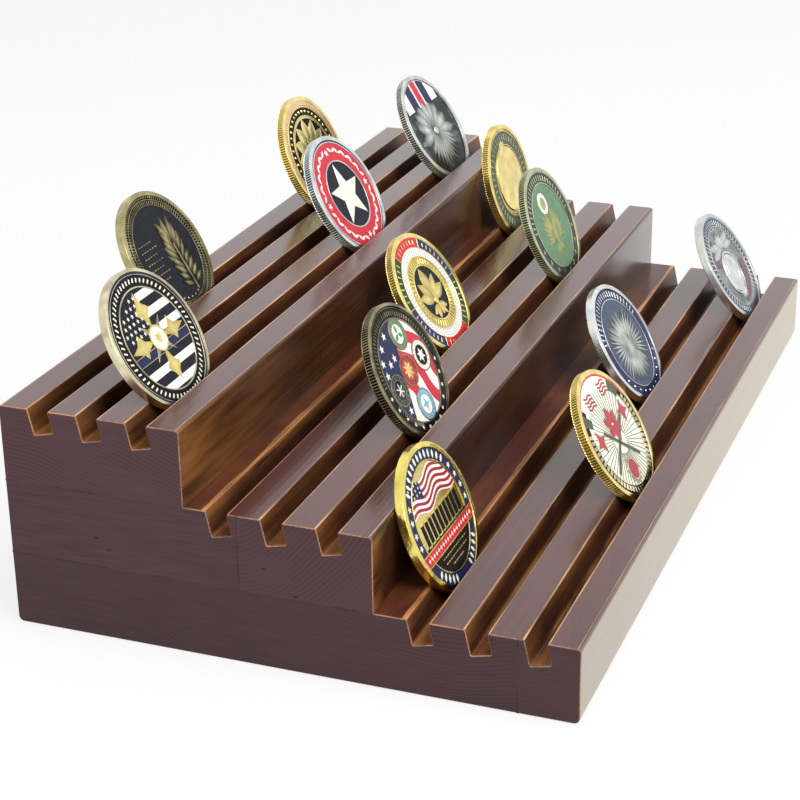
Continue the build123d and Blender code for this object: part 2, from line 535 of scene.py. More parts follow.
def land_middles(piece, top):
    """The middle of each flat land on a board's top, found from the faces there."""
    middles = []
    for face in piece.data.polygons:
        if face.normal.z > 0.999 and abs(face.center.z - top) < tiny:
            across = [corner.y for corner in corners(piece, face)]
            middles.append((min(across) + max(across)) / 2)
    return middles


def sharp_edges(piece, name):
    """The (y, z) places where a flat land or side starts to round over to its neighbour."""
    low, high = board_boxes[name]
    places = set()
    for edge in piece.data.edges:
        first, second = corners(piece, edge)
        if abs(first.x - second.x) < half_length or is_glued(name, first):
            continue
        on_top = abs(first.z - high.z) < tiny
        on_floor_edge = abs(first.z - low.z) < tiny and low.z < tiny
        if on_top or on_floor_edge:
            places.add((round(first.y, 6), round(first.z, 6)))
    return sorted(places)


def floor_corners(piece, name):
    """The (y, z) places along the lowest line of each groove of a board."""
    low, high = board_boxes[name]
    places = set()
    for face in piece.data.polygons:
        in_groove = low.z + underside_zone < face.center.z < high.z - top_zone
        if in_groove and abs(face.normal.x) < 0.1 and is_top(face):
            places.update((round(corner.y, 6), round(corner.z, 6)) for corner in corners(piece, face))
    return sorted(places)


def mark_gaps(piece, attribute, lines):
    """Store each vertex's distance in millimetres from the nearest of some lines along the board."""
    gaps = piece.data.attributes.new(attribute, "FLOAT", "POINT")
    for vertex, gap in zip(piece.data.vertices, gaps.data):
        gap.value = min(math.hypot(vertex.co.y - y, vertex.co.z - z) for y, z in lines) / mm


# %% Sanding the ends
end_rounding = 0.45 * mm
rounding_angles = [math.radians(angle) for angle in (0, 30, 60, 90)]
longest_short_edge = 3 * end_rounding
cut_from_glue = 1.3 * end_rounding


def cut_beside_glue(piece, name):
    """Cut a board just beside each place where an edge of its end runs into a glue line."""
    places = set()
    for edge in piece.data.edges:
        first, second = corners(piece, edge)
        short = (second - first).length < longest_short_edge
        if short or min(first.x, second.x) < half_length - tiny or is_glued(name, (first + second) / 2):
            continue
        for point, other in ((first, second), (second, first)):
            direction = (other - point).normalized()
            axis = 1 if abs(direction.y) > 0.5 else 2
            if is_glued(name, point):
                places.add((axis, round(point[axis] + direction[axis] * cut_from_glue, 6)))
    for axis, place in sorted(places):
        normal = [float(index == axis) for index in range(3)]
        cut_across(piece, [place * part for part in normal], normal)


def round_ends(piece, name):
    """Round the edges of both ends in three steps, but keep them flush along the glue lines."""
    cut_beside_glue(piece, name)
    mesh = piece.data
    flush = mesh.attributes.new("flush", "FLOAT", "POINT")
    for vertex, mark in zip(mesh.vertices, flush.data):
        mark.value = float(is_glued(name, vertex.co))
        if abs(vertex.co.x) > half_length - tiny:
            vertex.co.x = math.copysign(half_length - end_rounding, vertex.co.x)
    choose(piece, "FACE", lambda face: abs(face.normal.x) > 0.99)
    for before, after in zip(rounding_angles, rounding_angles[1:]):
        bpy.ops.mesh.inset(thickness=end_rounding * (math.cos(before) - math.cos(after)),
                           depth=end_rounding * (math.sin(after) - math.sin(before)))
    bpy.ops.object.mode_set(mode="OBJECT")
    flush = mesh.attributes["flush"]
    for vertex, mark in zip(mesh.vertices, flush.data):
        if mark.value > 0.5 and abs(vertex.co.x) > half_length - end_rounding - tiny:
            vertex.co.x = math.copysign(half_length, vertex.co.x)
    mesh.attributes.remove(flush)


# %% Colours of the stain and of painted light and shade, and what differs from board to board
plum = (0.052, 0.013, 0.013)
red_brown = (0.092, 0.024, 0.019)
ledge_red = (0.105, 0.028, 0.012)
# The grooves' near_black and dark_brown are partly dark stain and partly painted shade; the pale colours
# below are partly rubbed wood and thin stain and partly painted highlight and painted light.
copper = (0.62, 0.27, 0.10)
bare_wood_and_highlight = (0.85, 0.48, 0.22)
near_black = (0.012, 0.004, 0.003)
dark_brown = (0.047, 0.013, 0.008)
warm_brown = (0.085, 0.028, 0.009)
golden_brown = (0.34, 0.14, 0.042)
end_dark = (0.044, 0.0205, 0.023)
end_pale = (0.076, 0.041, 0.044)
# Rounded end corners: paler, partly sanding wear and partly a painted highlight.
corner_dark = (0.1, 0.05, 0.038)
corner_pale = (0.3, 0.165, 0.11)
# On the lower boards, the riser's dark_brown and its short end streaks are painted shadow, where coin_10
# shades the middle step's riser.
board_woods = {
    "high_board": dict(pith=(105.0, -90.0), ring_shows=1.0, end_tone=1.2, lip_light_share=0.35,
                       riser_pale=warm_brown, riser_end_stain_and_light_reach=82.0),
    "middle_rear_stave": dict(pith=(70.0, 420.0), ring_shows=0.2, end_tone=1.12, lip_light_share=0.8,
                              riser_pale=dark_brown, riser_end_stain_and_light_reach=9.0),
    "middle_front_stave": dict(pith=(32.0, 82.0), ring_shows=1.6, end_tone=1.15, lip_light_share=0.35,
                               riser_pale=dark_brown, riser_end_stain_and_light_reach=9.0),
    "low_rear_stave": dict(pith=(-46.0, 92.0), ring_shows=0.8, end_tone=0.95, lip_light_share=0.5,
                           riser_pale=dark_brown, riser_end_stain_and_light_reach=9.0),
    "low_front_stave": dict(pith=(-95.0, 260.0), ring_shows=1.2, end_tone=1.0, lip_light_share=0.35,
                            riser_pale=dark_brown, riser_end_stain_and_light_reach=9.0),
}


def glue_lines(name):
    """Where a board's end face meets its neighbours: an axis and a place on it, in millimetres."""
    low, high = board_boxes[name]
    lines = []
    for other, (other_low, other_high) in board_boxes.items():
        if other == name:
            continue
        beside = other_low.z < high.z - tiny and low.z < other_high.z - tiny
        above = other_low.y < high.y - tiny and low.y < other_high.y - tiny
        lines += [("Y", place.y / mm) for place in (low, high)
                  if beside and min(abs(place.y - other_low.y), abs(place.y - other_high.y)) < tiny
                  and abs(place.y) < board_boxes["high_board"][1].y - tiny]
        lines += [("Z", place.z / mm) for place in (low, high)
                  if above and min(abs(place.z - other_low.z), abs(place.z - other_high.z)) < tiny]
    return sorted(set((axis, round(line, 3)) for axis, line in lines))


def board_materials(name):
    """The seven finishes of one board."""
    kind = board_woods[name]
    end_stain, end_wood = [[part * kind["end_tone"] for part in shade] for shade in (end_dark, end_pale)]
    finishes = {
        "land": dict(stain=plum, pale=red_brown, thin_stain_and_light_colour=copper, bare_edge_and_highlight=bare_wood_and_highlight, ring_share=0.3,
                     gloss=0.16, rub_and_highlight_width=0.3, ripple=0.1, peel=0.03),
        "ledge": dict(stain=plum, pale=ledge_red, thin_stain_and_light_colour=golden_brown, bare_edge_and_highlight=copper, ring_share=0.3,
                      gloss=0.2, rub_and_highlight_width=1.5, coat=0.35, patchy=0.2, ripple=0.1, peel=0.03),
        # Grooves: dark colours partly painted shade, with painted light at the ends, under the lips and on
        # the floor.
        "groove": dict(stain=near_black, pale=dark_brown, thin_stain_and_light_colour=golden_brown, bare_edge_and_highlight=bare_wood_and_highlight,
                       gloss=0.3, rub_and_highlight_width=0.5, coat=0.15, relief=0.12, patchy=0.1, end_stain_and_light=0.5,
                       end_stain_and_light_reach=16.0, lip_light_share=kind["lip_light_share"], groove_floor_light_share=0.9),
        # Risers: their end streaks are partly thin stain and partly painted light.
        "riser": dict(stain=near_black, pale=kind["riser_pale"], thin_stain_and_light_colour=golden_brown, bare_edge_and_highlight=bare_wood_and_highlight,
                      gloss=0.2, rub_and_highlight_width=0.7, coat=0.2, relief=0.14, patchy=0.1, end_stain_and_light=0.78,
                      end_stain_and_light_reach=kind["riser_end_stain_and_light_reach"], far_gloss=0.8, ripple=0.1),
        "front": dict(stain=plum, pale=red_brown, thin_stain_and_light_colour=copper, gloss=0.3, rub_and_highlight_width=0.6,
                      coat_index=1.93, haze=0.9, relief=0.03, peel=0.02),
        # Rounded corners: paler, partly sanding wear and partly a painted highlight.
        "corner": dict(stain=corner_dark, pale=corner_pale, thin_stain_and_light_colour=copper, gloss=0.3, rub_and_highlight_width=0.0,
                       coat=0.6, patchy=0.6),
        "end": dict(stain=end_stain, pale=end_wood, thin_stain_and_light_colour=copper, ring_share=kind["ring_shows"],
                    gloss=0.5, rub_and_highlight_width=0.0, coat=0.1, relief=0.2, pits=0.9, ring_fade=0.75,
                    seams=glue_lines(name)),
    }
    return {finish: wood(f"{name}_{finish}", kind["pith"], **look) for finish, look in finishes.items()}


# %% Make the boards
ledge_width = 10.0 * mm
land_zone = 1.0 * mm
riser_zone = 1.2 * mm
crease_angle = math.radians(35)


def face_finish(name, face):
    """Which finish a board's face has, from the way it points and where it lies."""
    low, high = board_boxes[name]
    if 0.2 < abs(face.normal.x) < 0.9:
        return "corner"
    if abs(face.normal.x) > 0.5:
        return "end"
    if is_top(face) and face.center.z > high.z - land_zone:
        riser = {"middle_rear_stave": "high_board", "low_rear_stave": "middle_front_stave"}.get(name)
        beside_riser = riser and face.center.y > board_boxes[riser][0].y - ledge_width
        return "ledge" if beside_riser else "land"
    if face.center.y < low.y + riser_zone and face.normal.y < -0.3:
        return "front" if name == "low_front_stave" else "riser"
    if face.normal.z < -0.9 or face.normal.y > 0.99 or face.center.z < low.z + underside_zone:
        return "land"
    return "groove"


def smooth(piece):
    """Smooth shading over the roundings, with flat faces kept flat."""
    only(piece)
    bpy.ops.object.shade_smooth_by_angle(angle=crease_angle)
    weighted = piece.modifiers.new("flat_faces", "WEIGHTED_NORMAL")
    weighted.keep_sharp = True
    bpy.ops.object.modifier_apply(modifier=weighted.name)


def make_board(name):
    """One finished board in place of its CAD node."""
    low, high = board_boxes[name]
    piece = copy_node(name, f"{name}_wood")
    edges = sharp_edges(piece, name)
    floors = floor_corners(piece, name)
    middles = land_middles(piece, high.z)
    for riser in (board_boxes["high_board"][0].y, board_boxes["middle_front_stave"][0].y):
        if low.y + tiny < riser < high.y - tiny:
            cut_across(piece, (0, riser, 0), (0, 1, 0))
    round_ends(piece, name)
    for middle in middles:
        cut_across(piece, (0, middle, 0), (0, 1, 0))
    mark_gaps(piece, "edge_gap", edges)
    mark_gaps(piece, "floor_gap", floors)
    finishes = board_materials(name)
    order = list(finishes)
    for finish in order:
        piece.data.materials.append(finishes[finish])
    for face in piece.data.polygons:
        face.material_index = order.index(face_finish(name, face))
    smooth(piece)
    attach(piece, "stand")
    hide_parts(name)
    print(piece.name, len(piece.data.polygons), "faces,", len(edges), "rounded edges")


for name in board_names:
    make_board(name)

# %% [markdown]
# ## How the coins are drawn
#
# A struck coin is a disc whose rim stands a little above a sunk field. Colour is laid in the field as
# enamel between thin metal walls, and figures stand up from it in relief. Each coin is drawn flat, in
# millimetres, with X across it, Y up it and Z out of its face, so that every level is a plain number:
# 0 is the top of the rim, and what is sunk lies below 0. When it is finished, one matrix lays it on its
# CAD coin, which it then stands for.

# %% Levels of a coin, and where each one lies
coin_low, coin_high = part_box("coin_01")
coin_radius = (coin_high.x - coin_low.x) / 2 / mm
rim_width = 1.65
narrow_rim = 1.1
field_radius = coin_radius - rim_width
field_level = -0.45
foot_level = -0.6
enamel_level = -0.26
wall_level = -0.14
relief_level = -0.05


def lift_axis(name):
    """The direction in which a coin slides out of its groove, which is up its face."""
    joint = next(joint for joint in frame["joints"] if joint["child"] == name)
    return Vector(joint["axis"]).normalized()


def measured_thickness(name):
    """A coin's thickness in millimetres, worked out from its box and its lean."""
    low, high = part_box(name)
    upward = lift_axis(name)
    return ((high.y - low.y) / mm - 2 * coin_radius * upward.y) / upward.z


coin_thickness = measured_thickness("coin_01")


def face_matrix(name):
    """The matrix that lays a coin, drawn flat in millimetres, on its CAD coin."""
    low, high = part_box(name)
    across = Vector((1, 0, 0))
    upward = lift_axis(name)
    outward = across.cross(upward)
    centre = (low + high) / 2 + outward * coin_thickness / 2 * mm
    turned = Matrix((across, upward, outward)).transposed().to_4x4()
    return Matrix.Translation(centre) @ turned @ Matrix.Scale(mm, 4)


print("coins", round(2 * coin_radius, 2), "by", round(coin_thickness, 2), "mm")

# %% Sloping, placing and joining
both_sides = (-1, 1)


def slope_top(piece, edge):
    """Draw the top in and up, which leaves a sloped edge round it."""
    choose(piece, "FACE", is_top)
    bpy.ops.mesh.inset(thickness=edge, depth=edge)
    bpy.ops.object.mode_set(mode="OBJECT")
    return piece


def peak_top(piece, peak):
    """Raise the middle of the top, with a ridge from it to each corner."""
    choose(piece, "FACE", is_top)
    bpy.ops.mesh.poke(offset=peak)
    bpy.ops.object.mode_set(mode="OBJECT")
    return piece


def turn_outward(piece):
    """Make every face of a closed piece point out."""
    choose(piece, "FACE", is_any)
    bpy.ops.mesh.normals_make_consistent(inside=False)
    bpy.ops.object.mode_set(mode="OBJECT")
    return piece


def spot(x=0.0, y=0.0, turn=0.0, size=1.0):
    """A place on the coin's face, turned clockwise by degrees and scaled."""
    turned = Matrix.Rotation(-math.radians(turn), 4, "Z")
    return Matrix.Translation((x, y, 0)) @ turned @ Matrix.Diagonal((size, size, 1, 1))


def fan(x, y, turns):
    """One place on the coin's face, turned clockwise by each of some degrees."""
    return [spot(x, y, turn) for turn in turns]


def around(count, radius=0.0, first=0.0, last=360.0, tilt=0.0):
    """Evenly spread places at a radius, clockwise from the top, each turned to point outward."""
    gaps = count if last - first >= 360 else count - 1
    angles = [first + (last - first) * index / gaps for index in range(count)]
    return [spot(turn=angle) @ spot(0, radius, tilt) for angle in angles]


def join(pieces):
    """Join pieces into the first one."""
    if len(pieces) == 1:
        return pieces[0]
    bpy.ops.object.select_all(action="DESELECT")
    for piece in pieces:
        piece.select_set(True)
    bpy.context.view_layer.objects.active = pieces[0]
    bpy.ops.object.join()
    return pieces[0]


def copies(piece, places):
    """One copy of a piece at each place, joined."""
    twins = []
    for place in places:
        twin = bpy.data.objects.new(piece.name, piece.data.copy())
        bpy.context.scene.collection.objects.link(twin)
        twin.data.transform(place)
        twins.append(twin)
    bpy.data.objects.remove(piece)
    return join(twins)


def moved(piece, place):
    """The piece itself, moved to a place."""
    piece.data.transform(place)
    return piece


# %% Discs, rings, stars and leaves
round_sides = 96
leaf_edge = 0.02
tip_stretch = 1.25


def plate(sides, radius, high, edge=0.05, low=foot_level):
    """A raised shape with this many sides, its foot sunk in the field and its top not yet sloped."""
    bpy.ops.object.select_all(action="DESELECT")
    middle = (high - edge + low) / 2
    bpy.ops.mesh.primitive_cylinder_add(vertices=sides, radius=radius, depth=high - edge - low,
                                        location=(0, 0, middle))
    bpy.ops.object.transform_apply(location=True)
    return bpy.context.object


def disc(radius, high, edge=0.05, sides=round_sides):
    """A round plate with its edge sloped."""
    return slope_top(plate(sides, radius, high, edge), edge)


def bead(radius, high=relief_level):
    """A small domed dot."""
    slope = radius * 0.3
    return slope_top(plate(8, radius, high, slope), slope)


def ring(outer, inner, high, edge=0.03, sides=round_sides):
    """A flat ring: a disc whose two ends are drawn in, then joined through the middle."""
    piece = plate(sides, outer, high, edge)
    choose(piece, "FACE", is_cap)
    bpy.ops.mesh.inset(thickness=outer - inner)
    bpy.ops.mesh.bridge_edge_loops()
    bpy.ops.object.mode_set(mode="OBJECT")
    return slope_top(turn_outward(piece), edge)


def star(points, outer, inner, high=relief_level, peak=0.0, edge=0.04):
    """A star: every second corner of a many-sided plate is pulled in, and the middle may be peaked."""
    piece = plate(2 * points, outer, high, edge)
    step = math.pi / points
    choose(piece, "VERT", lambda vertex: round(math.atan2(vertex.co.x, vertex.co.y) / step) % 2 == 1)
    bpy.ops.transform.resize(value=(inner / outer, inner / outer, 1), center_override=(0, 0, 0))
    bpy.ops.object.mode_set(mode="OBJECT")
    slope_top(piece, edge)
    return peak_top(piece, peak) if peak else piece


def leaf(length, width, high=-0.34, peak=0.26):
    """A peaked leaf that grows from the middle of the coin towards the top."""
    piece = plate(12, 1.0, high, leaf_edge)
    choose(piece, "VERT", is_any)
    half_span = length / (2 * tip_stretch)
    bpy.ops.transform.resize(value=(width / 2, half_span, 1), center_override=(0, 0, 0))
    bpy.ops.object.mode_set(mode="OBJECT")
    choose(piece, "VERT", lambda vertex: abs(vertex.co.x) < 0.01)
    bpy.ops.transform.resize(value=(1, tip_stretch, 1), center_override=(0, 0, 0))
    bpy.ops.object.mode_set(mode="OBJECT")
    return moved(peak_top(slope_top(piece, leaf_edge), peak), spot(0, length / 2))


# %% Bars, bands and waves
arc_step = 4
wave_parts = 36


def block(width, height, low, high, x=0.0, y=0.0):
    """A plain block that stands between two levels."""
    bpy.ops.object.select_all(action="DESELECT")
    tall = high - low
    bpy.ops.mesh.primitive_cube_add(size=1, location=(x, y, low + tall / 2), scale=(width, height, tall))
    bpy.ops.object.transform_apply(location=True, scale=True)
    return bpy.context.object


def bar(width, height, high=wall_level, edge=0.04):
    """A straight bar with its top edge sloped."""
    return slope_top(block(width, height, foot_level, high - edge), edge)


def arc_band(outer, inner, first, last, high, edge=0.03):
    """Part of a ring, clockwise from the top by degrees: an upright face spun round the coin's middle."""
    bpy.ops.object.select_all(action="DESELECT")
    tall = high - edge - foot_level
    middle = (0, (outer + inner) / 2, foot_level + tall / 2)
    bpy.ops.mesh.primitive_plane_add(size=1, location=middle, rotation=(0, math.pi / 2, 0))
    piece = bpy.context.object
    piece.scale = (tall, outer - inner, 1)
    bpy.ops.object.transform_apply(location=True, rotation=True, scale=True)
    moved(piece, spot(turn=first))
    choose(piece, "FACE", is_any)
    steps = max(2, round((last - first) / arc_step))
    sweep = math.radians(last - first)
    bpy.ops.mesh.spin(steps=steps, angle=sweep, center=(0, 0, 0), axis=(0, 0, 1))
    bpy.ops.object.mode_set(mode="OBJECT")
    return slope_top(turn_outward(piece), edge)


def wave(length, width, swing, pitch, high, slide=0.0, edge=0.03):
    """A waving stripe: a strip cut in short lengths, each shifted up or down by a sine, then raised."""
    bpy.ops.object.select_all(action="DESELECT")
    bpy.ops.mesh.primitive_grid_add(x_subdivisions=wave_parts, y_subdivisions=1, size=1,
                                    location=(0, 0, foot_level))
    piece = bpy.context.object
    piece.scale = (length, width, 1)
    bpy.ops.object.transform_apply(location=True, scale=True)
    for vertex in piece.data.vertices:
        vertex.co.y += swing * math.sin(2 * math.pi * (vertex.co.x + slide) / pitch)
    choose(piece, "FACE", is_any)
    bpy.ops.mesh.extrude_region_move(TRANSFORM_OT_translate={"value": (0, 0, high - edge - foot_level)})
    bpy.ops.object.mode_set(mode="OBJECT")
    return slope_top(turn_outward(piece), edge)


# %% Trimming to a round or straight edge
cutter_reach = 1.0


def round_cutter(radius):
    """A tall drum to trim with."""
    return plate(round_sides, radius, cutter_reach, 0.0, low=-cutter_reach)


def block_cutter(left, right, bottom, top):
    """A tall box to trim with."""
    middle = ((left + right) / 2, (bottom + top) / 2)
    return block(right - left, top - bottom, -cutter_reach, cutter_reach, *middle)


def trim(piece, cutter):
    """Keep what lies inside a cutter, and remove the cutter."""
    only(piece)
    cut = piece.modifiers.new("trim", "BOOLEAN")
    cut.operation = "INTERSECT"
    cut.solver = "EXACT"
    cut.use_self = True
    cut.object = cutter
    bpy.ops.object.modifier_apply(modifier=cut.name)
    bpy.data.objects.remove(cutter)
    return piece


# %% [markdown]
# ## The blank
#
# Every coin starts as the same blank. On most of them the edge is reeded: many fine grooves that stop
# short of both rims. They are made by pulling in two of every four columns of a finely divided drum,
# between two cuts that keep the rims round.

# %% Blanks with smooth and with reeded edges
smooth_sides = 144
reed_count = 150
reeded_sides = 4 * reed_count
reed_depth = 0.28
reed_end = 0.4
rim_rounding = 0.22
field_slope = 0.12
hair = 0.01


def reed_edge(piece):
    """Pull in two of every four columns of the edge, between the two cuts near the rims."""
    step = 2 * math.pi / reeded_sides

    def in_groove(vertex):
        column = round(math.atan2(vertex.co.x, vertex.co.y) / step) % 4
        on_side = math.hypot(vertex.co.x, vertex.co.y) > coin_radius - hair
        return column < 2 and on_side and -coin_thickness + reed_end - hair < vertex.co.z < -reed_end + hair

    choose(piece, "VERT", in_groove)
    pulled = (coin_radius - reed_depth) / coin_radius
    bpy.ops.transform.resize(value=(pulled, pulled, 1), center_override=(0, 0, 0))
    bpy.ops.object.mode_set(mode="OBJECT")


def make_blank(name, reeded, rim):
    """A coin's disc, with its rims raised and rounded on both faces."""
    bpy.ops.object.select_all(action="DESELECT")
    bpy.ops.mesh.primitive_cylinder_add(vertices=reeded_sides if reeded else smooth_sides, radius=coin_radius,
                                        depth=coin_thickness, location=(0, 0, -coin_thickness / 2))
    piece = bpy.context.object
    piece.name = name
    bpy.ops.object.transform_apply(location=True)
    for level in (-reed_end, -coin_thickness + reed_end):
        cut_across(piece, (0, 0, level), (0, 0, 1))
    choose(piece, "FACE", is_cap)
    bpy.ops.mesh.bevel(offset=rim_rounding, segments=2, affect="EDGES")
    bpy.ops.object.mode_set(mode="OBJECT")
    choose(piece, "FACE", lambda face: is_cap(face) and face.area > coin_radius ** 2)
    bpy.ops.mesh.inset(thickness=rim - rim_rounding)
    bpy.ops.mesh.inset(thickness=field_slope, depth=field_level)
    bpy.ops.object.mode_set(mode="OBJECT")
    if reeded:
        reed_edge(piece)
    return piece


def mark_raised(piece):
    """Store how far each vertex stands up: 1 on rims and tops, 0 in fields, -1 in the edge's grooves."""
    raised = piece.data.attributes.new("raised", "FLOAT", "POINT")
    for vertex, value in zip(piece.data.vertices, raised.data):
        reach = math.hypot(vertex.co.x, vertex.co.y)
        level = max(vertex.co.z, -coin_thickness - vertex.co.z)
        on_edge = reach > coin_radius - reed_depth / 2
        in_reeding = reach > coin_radius - reed_depth * 1.2 and level < -reed_end + 0.05
        if on_edge:
            value.value = 1.0
        elif in_reeding:
            value.value = -1.0
        else:
            value.value = min(max(1 - level / field_level, 0), 1)


# %% [markdown]
# ## Coin metals and enamels
#
# Plated metal is bright on everything that stands up. A dark wash stays in the fields and grooves of
# every metal, strongest on the antique finishes; it is partly patina and partly painted shade. Enamel is
# coloured glass: a plain body colour under a clear, slightly wavy skin.
# Each finish is listed with the name of a slot that finishes of one kind share.

# %% How a metal and an enamel are made


def seen(red, green, blue):
    """The linear colour of a colour named by its screen values."""
    return tuple(((value / 255 + 0.055) / 1.055) ** 2.4 if value > 10 else value / 255 / 12.92
                 for value in (red, green, blue))


def coin_metal(name, bright, dark, rough=0.2, wash=0.5, ripple=0.0, tarnish=0.35):
    """A coin's plated metal, with a dark wash in what is sunk: partly patina, partly painted shade."""
    material, tree, output = new_material(name)
    place = add_node(tree, "TexCoord").outputs["Object"]
    raised = stored(tree, "raised")
    scuffs = stretched_noise(tree, place, (0.35, 0.35, 0.35), detail=2.0, seed=4.0)
    # The dark wash in the sunk parts and the edge's grooves: partly patina, partly painted shade.
    sunk = multiply(tree, grey_ramp(tree, raised, 0.8, 0.15), wash)
    stain = multiply(tree, patches(tree, place, (5, 5, 5), 0.35, 0.7), tarnish)
    grooves = multiply(tree, grey_ramp(tree, raised, 0.0, -1.0), 0.75)
    dull = calculate(tree, "ADD", calculate(tree, "ADD", sunk, stain), grooves, clamp=True)
    colour = mix_colours(tree, dull, bright, dark)
    roughness = calculate(tree, "ADD", multiply(tree, dull, 0.2), rough)
    roughness = calculate(tree, "ADD", roughness, multiply(tree, scuffs, 0.12))
    height = multiply(tree, scuffs, 0.02)
    if ripple:
        dents = stretched_noise(tree, place, (2.2, 2.2, 2.2), detail=1.0, seed=6.0)
        height = calculate(tree, "ADD", height, multiply(tree, dents, ripple))
    bump = add_node(tree, "Bump", {"Height": height, "Strength": 1.0, "Distance": 1.0 * mm})
    shader = add_node(tree, "BsdfPrincipled", {"Base Color": colour, "Metallic": 1.0,
                                               "Roughness": roughness, "Normal": bump.outputs[0]})
    tree.links.new(shader.outputs[0], output.inputs["Surface"])
    return material


def coin_enamel(name, colour, deep=0.75, rough=0.3, shine=0.15):
    """A coin's enamel, a little deeper in colour where it pools."""
    material, tree, output = new_material(name)
    place = add_node(tree, "TexCoord").outputs["Object"]
    clouds = stretched_noise(tree, place, (2.5, 2.5, 2.5), detail=3.0)
    specks = stretched_noise(tree, place, (0.3, 0.3, 0.3), detail=1.0, seed=7.0)
    deeper = [part * deep for part in colour]
    chalky = [0.5 * part + 0.1 for part in colour]
    pooled = mix_colours(tree, grey_ramp(tree, clouds, 0.35, 0.7), colour, deeper)
    mottled = mix_colours(tree, grey_ramp(tree, specks, 0.68, 0.8), pooled, chalky)
    height = calculate(tree, "ADD", multiply(tree, clouds, 0.06), multiply(tree, specks, 0.01))
    bump = add_node(tree, "Bump", {"Height": height, "Strength": 1.0, "Distance": 1.0 * mm})
    shader = add_node(tree, "BsdfPrincipled", {
        "Base Color": mottled, "Roughness": rough, "Normal": bump.outputs[0], "Specular IOR Level": shine,
        "Coat Weight": shine, "Coat Roughness": 0.12, "Coat Normal": bump.outputs[0]})
    tree.links.new(shader.outputs[0], output.inputs["Surface"])
    return material


# %% The metals and the enamels, each with its slot
coin_finishes = {}


def add_metal(name, bright, dark, slot=None, **look):
    """Add a metal, by its screen colours where it is bright and where it is dark."""
    coin_finishes[name] = coin_metal(name, seen(*bright), seen(*dark), **look), slot or name


def add_enamel(name, colour, slot=None, **look):
    """Add an enamel, by its screen colour."""
    coin_finishes[name] = coin_enamel(f"{name}_enamel", seen(*colour), **look), f"{slot or name}_enamel"


add_metal("gold_plate", (253, 234, 150), (140, 108, 46), rough=0.12, wash=0.4)
add_metal("bright_gold", (255, 240, 168), (196, 168, 84), "gold_plate", rough=0.08, wash=0.25, tarnish=0.2)
add_metal("rippled_gold", (255, 236, 130), (150, 104, 34), "gold_plate", rough=0.08, wash=0.3, ripple=0.14)
add_metal("soft_gold", (206, 204, 140), (84, 104, 62), "gold_plate", rough=0.3, wash=0.6)
add_metal("copper_gold", (246, 206, 170), (190, 130, 95), "gold_plate", rough=0.2, wash=0.2)
add_metal("antique_brass", (190, 180, 132), (34, 31, 24), rough=0.2, wash=1.0, tarnish=0.55)
add_metal("bronze", (168, 156, 120), (30, 27, 22), "antique_brass", rough=0.2, wash=1.0, tarnish=0.6)
add_metal("green_brass", (206, 208, 170), (56, 70, 52), "antique_brass", rough=0.26, wash=0.8)
add_metal("pale_brass", (236, 226, 190), (80, 72, 48), rough=0.18, wash=0.6, tarnish=0.5)
add_metal("silver_plate", (235, 240, 238), (96, 102, 106), rough=0.15, wash=0.5)
add_metal("worn_silver", (222, 226, 222), (112, 116, 120), "antique_silver", rough=0.24, wash=0.6)
add_metal("antique_silver", (226, 230, 224), (66, 71, 72), rough=0.26, wash=0.85)

add_enamel("black", (24, 23, 26), shine=0.05)
add_enamel("ink", (32, 33, 44), "black", shine=0.06)
add_enamel("slate", (56, 62, 64), "grey", shine=0.1)
add_enamel("grey", (98, 104, 100))
add_enamel("white", (248, 246, 240), deep=0.92)
add_enamel("cream", (245, 245, 226), "white", deep=0.94)
add_enamel("red", (218, 44, 64), shine=0.12)
add_enamel("crimson", (170, 44, 58), "red", shine=0.1)
add_enamel("rose", (182, 72, 84), "red", shine=0.1)
add_enamel("navy", (40, 46, 84), "blue", shine=0.08)
add_enamel("blue", (34, 46, 110), shine=0.1)
add_enamel("steel", (72, 84, 108), "blue", shine=0.1)
add_enamel("sky", (120, 196, 230), "blue")
add_enamel("green", (104, 144, 108), shine=0.1)
add_enamel("forest", (46, 76, 50), "green", shine=0.08)
add_enamel("olive", (82, 94, 74), "green", shine=0.1)
add_enamel("mauve", (122, 88, 104), shine=0.1)
print(len(coin_finishes), "metals and enamels")

# %% [markdown]
# ## Finishing a coin
#
# A coin's drawing is a list of colours and shapes. What has one colour is joined into one piece, laid on
# the CAD coin and set to ride with it. The back of every coin has a plain star inside a ring of beads.

# %% Laying a coin in its groove
blank_crease = 35
relief_crease = 14


def back_of_coin():
    """A plain star inside a thin wall and a ring of beads, carried to the back by half a turn."""
    shapes = [copies(bead(0.5), around(48, 18.6)), ring(16.6, 16.1, wall_level),
              star(5, 13.5, 5.6, high=-0.24, peak=0.16)]
    to_back = Matrix.Translation((0, 0, -coin_thickness)) @ Matrix.Rotation(math.pi, 4, "Y")
    return moved(join(shapes), to_back)


def lay(piece, name, coin, finish, crease):
    """Mark a drawn piece's heights, lay it on its coin, and give it its finish."""
    material, slot = coin_finishes[finish]
    piece.name = name
    mark_raised(piece)
    piece.data.transform(face_matrix(coin))
    piece.data.materials.clear()
    piece.data.materials.append(material)
    only(piece)
    bpy.ops.object.shade_smooth_by_angle(angle=math.radians(crease))
    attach(piece, coin)
    return len(piece.data.polygons)


def make_coin(coin, metal, drawing, reeded=True, rim_metal=None, rim=rim_width):
    """A finished coin: its blank, its back, and one piece for each metal or enamel in its drawing."""
    blank = make_blank(f"{coin}_blank", reeded, rim)
    faces = lay(blank, f"{coin}_blank", coin, rim_metal or metal, blank_crease)
    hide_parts(coin)
    by_finish = {metal: [back_of_coin()]}
    for colour, shape in drawing:
        by_finish.setdefault(metal if colour == "metal" else colour, []).append(shape)
    for finish, shapes in by_finish.items():
        faces += lay(join(shapes), f"{coin}_{finish}", coin, finish, relief_crease)
    print(coin, len(by_finish) + 1, "pieces,", faces, "faces")


